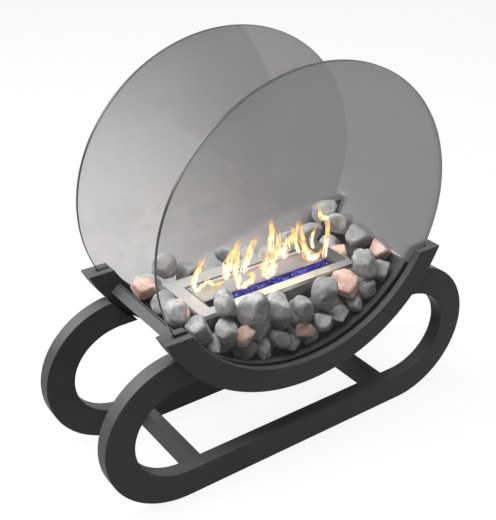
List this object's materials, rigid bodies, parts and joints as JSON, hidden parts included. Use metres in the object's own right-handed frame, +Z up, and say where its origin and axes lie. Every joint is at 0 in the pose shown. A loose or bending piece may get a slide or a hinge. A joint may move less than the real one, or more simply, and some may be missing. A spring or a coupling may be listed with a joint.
{
  "type": "bioethanol fireplace",
  "caption": "Free-standing bioethanol fireplace: round glass panes in cradle arcs on sled runners, with a sliding-damper burner in a bed of loose stones.",
  "frame": {"origin": "on the floor under the middle of the bowl", "axes": "+X along the runners to the right, +Y from the front pane to the rear one, +Z up"},
  "size_m": [0.73, 0.27, 0.665],
  "materials": {
    "black_steel": "charcoal powder coat, fine grain, satin to matte",
    "smoked_glass": "smoked toughened glass, polished faces, ground edge",
    "silicone": "black silicone profile, matte",
    "stainless": "brushed stainless steel, straw heat tint near the mouth",
    "ceramic_wool": "off-white ceramic fibre, matte",
    "grey_stone": "tumbled grey stone, dry, matte",
    "pink_stone": "tumbled pink stone, dry, matte"
  },
  "bodies": {
    "stand": {"front_arc": "black_steel", "rear_arc": "black_steel", "front_seal": "silicone", "rear_seal": "silicone", "front_runner": "black_steel", "rear_runner": "black_steel", "burner_support_front": "black_steel", "burner_support_rear": "black_steel", "tray": "black_steel", "lower_crossbar_left": "black_steel", "lower_crossbar_right": "black_steel", "upper_crossbar_left": "black_steel", "upper_crossbar_right": "black_steel", "pink_stone_1": "pink_stone", "pink_stone_2": "pink_stone", "pink_stone_3": "pink_stone", "pink_stone_4": "pink_stone", "pink_stone_5": "pink_stone", "pink_stone_6": "pink_stone", "pink_stone_7": "pink_stone", "grey_stone_01": "grey_stone", "grey_stone_02": "grey_stone", "grey_stone_03": "grey_stone", "grey_stone_04": "grey_stone", "grey_stone_05": "grey_stone", "grey_stone_06": "grey_stone", "grey_stone_07": "grey_stone", "grey_stone_08": "grey_stone", "grey_stone_09": "grey_stone", "grey_stone_10": "grey_stone", "grey_stone_11": "grey_stone", "grey_stone_12": "grey_stone", "grey_stone_13": "grey_stone", "grey_stone_14": "grey_stone", "grey_stone_15": "grey_stone", "grey_stone_16": "grey_stone", "grey_stone_17": "grey_stone", "grey_stone_18": "grey_stone", "grey_stone_19": "grey_stone", "grey_stone_20": "grey_stone", "grey_stone_21": "grey_stone", "grey_stone_22": "grey_stone", "grey_stone_23": "grey_stone", "grey_stone_24": "grey_stone", "grey_stone_25": "grey_stone", "grey_stone_26": "grey_stone", "grey_stone_27": "grey_stone", "grey_stone_28": "grey_stone", "grey_stone_29": "grey_stone", "grey_stone_30": "grey_stone", "stone_bed_front": "grey_stone", "stone_bed_rear": "grey_stone"},
    "front_glass": {"front_pane": "smoked_glass"},
    "rear_glass": {"rear_pane": "smoked_glass"},
    "burner": {"burner_tank": "stainless", "burner_plate": "stainless", "damper_rail_left": "stainless", "damper_rail_right": "stainless", "ceramic_wool": "ceramic_wool"},
    "damper": {"damper": "stainless"}
  },
  "joints": [
    {"name": "front_pane_lift", "type": "slide", "parent": "stand", "child": "front_glass", "axis": [0, 0, 1], "range_m": [0, 0.16]},
    {"name": "rear_pane_lift", "type": "slide", "parent": "stand", "child": "rear_glass", "axis": [0, 0, 1], "range_m": [0, 0.16]},
    {"name": "burner_lift", "type": "slide", "parent": "stand", "child": "burner", "axis": [0, 0, 1], "range_m": [0, 0.12]},
    {"name": "damper_slide", "type": "slide", "parent": "burner", "child": "damper", "axis": [0, -1, 0], "range_m": [0, 0.0225]}
  ]
}
